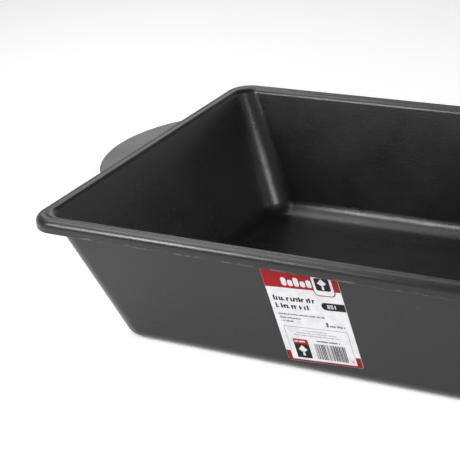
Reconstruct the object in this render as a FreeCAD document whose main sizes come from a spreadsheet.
import FreeCAD, Part
import math
import os

import Sketcher

# Mortar mixing tub: one open plastic moulding with leaning walls, a rim with a turned-down
# skirt and a half-round grip lug at each end, and the paper label on its front wall.
# Frame: origin at the middle of the base's underside, +Z up, +X along the tub,
# -Y out of the wall that carries the label.

# name, value in millimetres (the tilt in degrees), meaning
DIMENSIONS = (
    ("rim_length", 565.0, "outside of the rim along X, without the lugs"),
    ("rim_width", 384.0, "outside of the rim along Y"),
    ("tub_height", 130.0, "base to rim top"),
    ("rim_corner", 25.0, "plan radius of the rim's outer corners"),
    ("rim_overhang", 11.5, "rim edge to the outer wall face, measured at the rim top"),
    ("rim_thickness", 3.2, "cap of the rim"),
    ("skirt_depth", 12.0, "rim top to the skirt's lower edge"),
    ("skirt_thickness", 2.6, "skirt wall, at the rim and round the lugs"),
    ("skirt_softening", 0.7, "skirt's lower edges"),
    ("lip_rounding", 6.5, "outer top edge of the rim"),
    ("hollow_rounding", 3.5, "inside the rim's hollow, cap into skirt"),
    ("mouth_rounding", 6.0, "rim top into the inner wall face"),
    ("wall_thickness", 3.5, "walls, measured level"),
    ("floor_thickness", 3.5, "floor"),
    ("end_lean", 49.0, "end wall inwards, rim top to base"),
    ("side_lean", 29.0, "long wall inwards, rim top to base"),
    ("wall_corner_top", 20.0, "plan radius of the outer wall corners at the rim top"),
    ("wall_corner_base", 28.0, "plan radius of the outer wall corners at the base"),
    ("floor_cove", 18.0, "floor into the inner wall faces"),
    ("base_rounding", 13.0, "base into the outer wall faces"),
    ("lug_chord", 142.0, "grip lug along Y, where it meets the rim"),
    ("lug_reach", 24.5, "grip lug beyond the rim edge"),
    ("lug_drop", 1.2, "rim top to the lug's top face"),
    ("lug_plate", 2.8, "lug's top plate"),
    ("lug_rounding", 1.4, "lug's outer top edge"),
    ("rib_pitch", 32.0, "rib to rib along Y, under a lug"),
    ("rib_thickness", 2.2, "rib along Y"),
    ("rib_depth", 4.0, "rib below the lug's plate"),
    ("label_width", 75.0, "paper label along X"),
    ("label_height", 102.0, "paper label up the wall"),
    ("label_rise", 14.9, "base plane to the label's lower edge, up the wall"),
    ("label_shift", -2.8, "label's middle along X from the tub's middle"),
    ("label_tilt", 4.5, "degrees that the label is stuck on askew, its right side up"),
    ("label_corner", 1.2, "label's cut corners"),
    ("label_thickness", 0.25, "paper with its adhesive"),
)
VALUE = {name: value for name, value, meaning in DIMENSIONS}

# Formulas over the sheet's cells, for distances that several features share.
RIM_HALF_LENGTH = "<<dims>>.rim_length / 2"
RIM_HALF_WIDTH = "<<dims>>.rim_width / 2"
RIM_TOP = "<<dims>>.tub_height"
SKIRT_FOOT = "<<dims>>.tub_height - <<dims>>.skirt_depth"
LUG_TOP = "<<dims>>.tub_height - <<dims>>.lug_drop"
LUG_DEPTH = "<<dims>>.skirt_depth - <<dims>>.lug_drop"
LUG_UNDERSIDE = LUG_TOP + " - <<dims>>.lug_plate"
LUG_RADIUS = "(<<dims>>.lug_chord ^ 2 / 4 + <<dims>>.lug_reach ^ 2) / (2 * <<dims>>.lug_reach)"

RIM_START = (VALUE["rim_length"] / 2, VALUE["rim_width"] / 2, VALUE["rim_corner"])
SIDES = (-1, 1)
RIB_PLACES = (-1, 0, 1)
TOLERANCE = 0.01
START, END, CENTRE = 1, 2, 3
ORIGIN, X_AXIS = (-1, 1), -1
UP = FreeCAD.Vector(0, 0, 1)


def make_sheet(doc):
    """The driving dimensions, one row each: name, value, meaning."""
    sheet = doc.addObject("Spreadsheet::Sheet", "dims")
    for row, (name, value, meaning) in enumerate(DIMENSIONS, start=1):
        sheet.set("A%d" % row, name)
        sheet.set("B%d" % row, str(value))
        sheet.set("C%d" % row, meaning)
        sheet.setAlias("B%d" % row, name)
    doc.recompute()


def plane_sketch(body, name, role, offset="0"):
    """A sketch parallel to one of the body's own origin planes."""
    planes = {part.Role: part for part in body.Origin.OriginFeatures}
    sketch = body.newObject("Sketcher::SketchObject", name)
    sketch.AttachmentSupport = [(planes[role], "")]
    sketch.MapMode = "FlatFace"
    sketch.setExpression("AttachmentOffset.Base.z", offset)
    return sketch


def hold(sketch, kind, *items):
    """One geometric constraint."""
    return sketch.addConstraint(Sketcher.Constraint(kind, *items))


def drive(sketch, name, formula, kind, *items):
    """One named dimension that follows the sheet."""
    index = hold(sketch, kind, *items)
    sketch.renameConstraint(index, name)
    sketch.setExpression("Constraints." + name, formula)


def rounded_rectangle(sketch, half_length, half_width, corner, start):
    """Four arcs and four lines round the origin, driven by three formulas.

    start holds the half length, half width and radius that the outline is drawn with.
    """
    length, width, radius = start
    quarters = ((1, 1), (-1, 1), (-1, -1), (1, -1))
    centres = [FreeCAD.Vector(sx * (length - radius), sy * (width - radius), 0) for sx, sy in quarters]
    for index, centre in enumerate(centres):
        turn = index * math.pi / 2
        circle = Part.Circle(centre, UP, radius)
        sketch.addGeometry(Part.ArcOfCircle(circle, turn, turn + math.pi / 2))
    for index, centre in enumerate(centres):
        turn = (index + 1) * math.pi / 2
        out = FreeCAD.Vector(radius * math.cos(turn), radius * math.sin(turn), 0)
        sketch.addGeometry(Part.LineSegment(centre + out, centres[(index + 1) % 4] + out))
    for index in range(4):
        line, next_arc = 4 + index, (index + 1) % 4
        hold(sketch, "Tangent", index, END, line, START)
        hold(sketch, "Tangent", line, END, next_arc, START)
        hold(sketch, "Vertical" if index % 2 else "Horizontal", line)
        if index:
            hold(sketch, "Equal", 0, index)
    hold(sketch, "Symmetric", 0, CENTRE, 2, CENTRE, *ORIGIN)
    drive(sketch, "radius", corner, "Radius", 0, radius)
    drive(sketch, "half_length", half_length, "DistanceX", *ORIGIN, 7, START, length)
    drive(sketch, "half_width", half_width, "DistanceY", *ORIGIN, 4, START, width)


def rim_outline(body, name, height, inset="0"):
    """The rim's outline at a height, moved inwards by an inset."""
    sketch = plane_sketch(body, name, "XY_Plane", height)
    sizes = (RIM_HALF_LENGTH, RIM_HALF_WIDTH, "<<dims>>.rim_corner")
    formulas = ["%s - (%s)" % (size, inset) for size in sizes]
    rounded_rectangle(sketch, *formulas, RIM_START)
    return sketch


def wall_outline(body, name, height, inset="0"):
    """The section of the leaning outer wall faces at a height, moved inwards by an inset."""
    drop = "(1 - (%s) / <<dims>>.tub_height)" % height
    setback = "(<<dims>>.rim_overhang + (%s))" % inset
    half_length = "%s - %s - <<dims>>.end_lean * %s" % (RIM_HALF_LENGTH, setback, drop)
    half_width = "%s - %s - <<dims>>.side_lean * %s" % (RIM_HALF_WIDTH, setback, drop)
    shrink = "(<<dims>>.wall_corner_top - <<dims>>.wall_corner_base) * " + drop
    corner = "<<dims>>.wall_corner_top - %s - (%s)" % (shrink, inset)
    sketch = plane_sketch(body, name, "XY_Plane", height)
    rounded_rectangle(sketch, half_length, half_width, corner, RIM_START)
    return sketch


def pad(body, name, sketch, length, reverse=False):
    """An extrusion with its length bound to the sheet."""
    feature = body.newObject("PartDesign::Pad", name)
    feature.Profile = sketch
    feature.Reversed = reverse
    feature.setExpression("Length", length)
    body.Document.recompute()
    return feature


def pocket(body, name, sketch, length, reverse=False):
    """A cut with its depth bound to the sheet. It has to take material away."""
    before = body.Shape.Volume
    feature = body.newObject("PartDesign::Pocket", name)
    feature.Profile = sketch
    feature.Reversed = reverse
    feature.setExpression("Length", length)
    body.Document.recompute()
    if body.Shape.Volume > before - TOLERANCE:
        raise RuntimeError(name + " cuts nothing")
    return feature


def loft(body, kind, name, bottom, top):
    """Straight-ruled loft between two sketches."""
    feature = body.newObject("PartDesign::" + kind, name)
    feature.Profile = bottom
    feature.Sections = [top]
    feature.Ruled = True
    body.Document.recompute()
    return feature


def round_edges(body, name, radius, test):
    """A fillet on every edge of the newest feature that passes the test."""
    base = body.Tip
    names = ["Edge%d" % (i + 1) for i, edge in enumerate(base.Shape.Edges) if test(edge.BoundBox)]
    if not names:
        raise RuntimeError(name + " finds no edge")
    feature = body.newObject("PartDesign::Fillet", name)
    feature.Base = (base, names)
    feature.setExpression("Radius", "<<dims>>." + radius)
    body.Document.recompute()
    return feature


def near(size, target):
    """Whether two lengths are the same within the tolerance."""
    return abs(size - target) < TOLERANCE


def level(box, height):
    """Whether an edge lies in the level plane at this height."""
    return near(box.ZMin, height) and near(box.ZMax, height)


def inset_of(box):
    """How far inside the rim's edge an edge of a rounded rectangle runs."""
    reach_x = max(abs(box.XMin), abs(box.XMax))
    reach_y = max(abs(box.YMin), abs(box.YMax))
    return min(VALUE["rim_length"] / 2 - reach_x, VALUE["rim_width"] / 2 - reach_y)


def sagitta_radius(chord, rise):
    """The radius of an arc with this chord and this rise in its middle."""
    return (chord ** 2 / 4 + rise ** 2) / (2 * rise)


def add_rim(body):
    """The rim's cap and skirt, with its rounded lip."""
    outline = rim_outline(body, "rim_outline", RIM_TOP)
    pad(body, "rim_block", outline, "<<dims>>.skirt_depth", reverse=True)
    top = VALUE["tub_height"]
    round_edges(body, "rim_lip", "lip_rounding", lambda box: level(box, top))


def hollow_rim(body):
    """The hollow inside the rim's skirt, under its cap."""
    hollow = rim_outline(body, "rim_hollow_outline", SKIRT_FOOT, "<<dims>>.skirt_thickness")
    depth = "<<dims>>.skirt_depth - <<dims>>.rim_thickness"
    pocket(body, "rim_hollow", hollow, depth, reverse=True)
    ceiling = VALUE["tub_height"] - VALUE["rim_thickness"]
    round_edges(body, "rim_hollow_corner", "hollow_rounding", lambda box: level(box, ceiling))


def lug_outline(body, name, height, side, inset="0", root="0"):
    """A circular segment outside the rim at one end, closed at a root inside the rim edge."""
    half_chord, reach = VALUE["lug_chord"] / 2, VALUE["lug_reach"]
    edge = VALUE["rim_length"] / 2
    radius = sagitta_radius(VALUE["lug_chord"], reach)
    middle = edge + reach - radius
    swing = math.asin(half_chord / radius)
    facing = 0 if side > 0 else math.pi
    sketch = plane_sketch(body, name, "XY_Plane", height)
    circle = Part.Circle(FreeCAD.Vector(side * middle, 0, 0), UP, radius)
    arc = sketch.addGeometry(Part.ArcOfCircle(circle, facing - swing, facing + swing))
    corners = [FreeCAD.Vector(side * edge, side * sign * half_chord, 0) for sign in (1, -1)]
    chord = sketch.addGeometry(Part.LineSegment(*corners))
    hold(sketch, "Coincident", arc, END, chord, START)
    hold(sketch, "Coincident", chord, END, arc, START)
    hold(sketch, "Vertical", chord)
    hold(sketch, "PointOnObject", arc, CENTRE, X_AXIS)
    drive(sketch, "radius", "%s - (%s)" % (LUG_RADIUS, inset), "Radius", arc, radius)
    middle_text = "%s + <<dims>>.lug_reach - %s" % (RIM_HALF_LENGTH, LUG_RADIUS)
    root_text = "%s - (%s)" % (RIM_HALF_LENGTH, root)
    if side > 0:
        drive(sketch, "middle", middle_text, "DistanceX", *ORIGIN, arc, CENTRE, middle)
        drive(sketch, "root", root_text, "DistanceX", *ORIGIN, chord, START, edge)
    else:
        drive(sketch, "middle", middle_text, "DistanceX", arc, CENTRE, *ORIGIN, middle)
        drive(sketch, "root", root_text, "DistanceX", chord, START, *ORIGIN, edge)
    return sketch


def rib_outline(body, name, height, side, place):
    """A rib's rectangle under a lug, from the rim's skirt into the lug's skirt."""
    sketch = plane_sketch(body, name, "XY_Plane", height)
    edge = VALUE["rim_length"] / 2
    root_x = side * (edge - VALUE["skirt_thickness"] / 2)
    tip_x = side * (edge + VALUE["lug_reach"] / 2)
    low = place * VALUE["rib_pitch"] - VALUE["rib_thickness"] / 2
    high = low + VALUE["rib_thickness"]
    places = ((root_x, low), (tip_x, low), (tip_x, high), (root_x, high))
    corners = [FreeCAD.Vector(x, y, 0) for x, y in places]
    for index in range(4):
        sketch.addGeometry(Part.LineSegment(corners[index], corners[(index + 1) % 4]))
    for index in range(4):
        hold(sketch, "Coincident", index, END, (index + 1) % 4, START)
        hold(sketch, "Vertical" if index % 2 else "Horizontal", index)
    drive(sketch, "thickness", "<<dims>>.rib_thickness", "DistanceY", 1, START, 1, END, high - low)
    reach = (
        "%s + <<dims>>.lug_reach - %s - <<dims>>.skirt_thickness / 2"
        " + sqrt((%s) ^ 2 - (%d * <<dims>>.rib_pitch) ^ 2)"
        % (RIM_HALF_LENGTH, LUG_RADIUS, LUG_RADIUS, place)
    )
    root = "%s - <<dims>>.skirt_thickness / 2" % RIM_HALF_LENGTH
    low_text = "%d * <<dims>>.rib_pitch - <<dims>>.rib_thickness / 2" % place
    for label, text, line, size in (("reach", reach, 1, abs(tip_x)), ("root", root, 3, abs(root_x))):
        ends = (*ORIGIN, line, START) if side > 0 else (line, START, *ORIGIN)
        drive(sketch, label, text, "DistanceX", *ends, size)
    drive(sketch, "low", low_text, "DistanceY", *ORIGIN, 0, START, low)
    return sketch


def side_word(side):
    """The name of the end that a lug stands at."""
    return "right" if side > 0 else "left"


def add_lug(body, side):
    """A half-round grip lug as a solid block that runs into the rim's rounded lip."""
    word = side_word(side)
    outline = lug_outline(body, word + "_lug_outline", LUG_TOP, side, root="<<dims>>.lip_rounding")
    pad(body, word + "_lug_block", outline, LUG_DEPTH, reverse=True)


def hollow_lug(body, side):
    """The hollow under a lug's plate and the ribs across it."""
    word = side_word(side)
    outline = lug_outline(body, word + "_lug_hollow_outline", SKIRT_FOOT, side, "<<dims>>.skirt_thickness")
    pocket(body, word + "_lug_hollow", outline, LUG_DEPTH + " - <<dims>>.lug_plate", reverse=True)
    for place in RIB_PLACES:
        name = "%s_rib_%d" % (word, place + 2)
        sketch = rib_outline(body, name + "_outline", LUG_UNDERSIDE, side, place)
        pad(body, name, sketch, "<<dims>>.rib_depth", reverse=True)


def add_walls(body):
    """The leaning walls and the floor: an outer loft less an inner one."""
    base = wall_outline(body, "wall_base_outline", "0")
    top = wall_outline(body, "wall_top_outline", RIM_TOP)
    loft(body, "AdditiveLoft", "wall_block", base, top)
    floor, wall = "<<dims>>.floor_thickness", "<<dims>>.wall_thickness"
    inner_base = wall_outline(body, "cavity_base_outline", floor, wall)
    inner_top = wall_outline(body, "cavity_top_outline", RIM_TOP, wall)
    loft(body, "SubtractiveLoft", "cavity", inner_base, inner_top)


def round_tub(body):
    """Every rounded edge that crosses more than one of the features above."""
    top = VALUE["tub_height"]
    floor = VALUE["floor_thickness"]
    foot = top - VALUE["skirt_depth"]
    lug_top = top - VALUE["lug_drop"]
    mouth = VALUE["rim_overhang"] + VALUE["wall_thickness"]
    beyond_rim = -VALUE["lug_reach"] / 2

    def on_mouth(box):
        return level(box, top) and near(inset_of(box), mouth)

    def on_lug_lip(box):
        return level(box, lug_top) and inset_of(box) < beyond_rim

    round_edges(body, "mouth", "mouth_rounding", on_mouth)
    round_edges(body, "lug_lip", "lug_rounding", on_lug_lip)
    round_edges(body, "skirt_foot", "skirt_softening", lambda box: level(box, foot))
    round_edges(body, "floor_edge", "floor_cove", lambda box: level(box, floor))
    round_edges(body, "base_edge", "base_rounding", lambda box: level(box, 0))


def make_tub(doc):
    """The plastic moulding, all in one piece."""
    body = doc.addObject("PartDesign::Body", "tub")
    body.Label = "tub_shell"
    doc.recompute()
    add_rim(body)
    for side in SIDES:
        add_lug(body, side)
    hollow_rim(body)
    for side in SIDES:
        hollow_lug(body, side)
    add_walls(body)
    round_tub(body)
    return body


def make_label(doc):
    """The paper label, stuck flat on the front wall's outer face."""
    body = doc.addObject("PartDesign::Body", "label")
    body.Label = "front_label"
    doc.recompute()
    sketch = plane_sketch(body, "label_outline", "XY_Plane")
    sketch.AttachmentOffset = FreeCAD.Placement(FreeCAD.Vector(), FreeCAD.Rotation(UP, VALUE["label_tilt"]))
    sketch.setExpression("AttachmentOffset.Rotation.Angle", "<<dims>>.label_tilt * 1deg")
    sketch.setExpression("AttachmentOffset.Base.x", "<<dims>>.label_shift * 1mm")
    start = (VALUE["label_width"] / 2, VALUE["label_height"] / 2, VALUE["label_corner"])
    half_sizes = ("<<dims>>.label_width / 2", "<<dims>>.label_height / 2")
    rounded_rectangle(sketch, *half_sizes, "<<dims>>.label_corner", start)
    pad(body, "label_sheet", sketch, "<<dims>>.label_thickness")
    lean = "atan(<<dims>>.side_lean / <<dims>>.tub_height)"
    middle = "(<<dims>>.label_rise + <<dims>>.label_height / 2)"
    base_edge = "(%s - <<dims>>.rim_overhang - <<dims>>.side_lean)" % RIM_HALF_WIDTH
    body.Placement.Rotation = FreeCAD.Rotation(FreeCAD.Vector(1, 0, 0), 90)
    body.setExpression("Placement.Rotation.Angle", "90 + %s / 1deg" % lean)
    body.setExpression("Placement.Base.y", "-%s - %s * sin(%s)" % (base_edge, middle, lean))
    body.setExpression("Placement.Base.z", "%s * cos(%s)" % (middle, lean))
    doc.recompute()
    return body


def check(doc, bodies):
    """Stop if any feature failed or a body isn't one sound solid."""
    for item in doc.Objects:
        if "Invalid" in item.State or "Error" in item.State:
            raise RuntimeError("%s failed: %s" % (item.Name, item.State))
    for body in bodies:
        if body.Shape.isNull() or not body.Shape.isValid():
            raise RuntimeError(body.Label + " is not a valid shape")
        if len(body.Shape.Solids) != 1:
            raise RuntimeError(body.Label + " is not one solid")


def main():
    doc = FreeCAD.newDocument("mortar_tub")
    make_sheet(doc)
    bodies = [make_tub(doc), make_label(doc)]
    doc.recompute()
    check(doc, bodies)
    os.makedirs("parts", exist_ok=True)
    for body in bodies:
        body.Shape.exportStep("parts/%s.step" % body.Label)
        box = body.Shape.optimalBoundingBox()
        size = "%.1f x %.1f x %.1f mm" % (box.XLength, box.YLength, box.ZLength)
        print(body.Label, size, "%.1f cm3" % (body.Shape.Volume / 1000))


main()
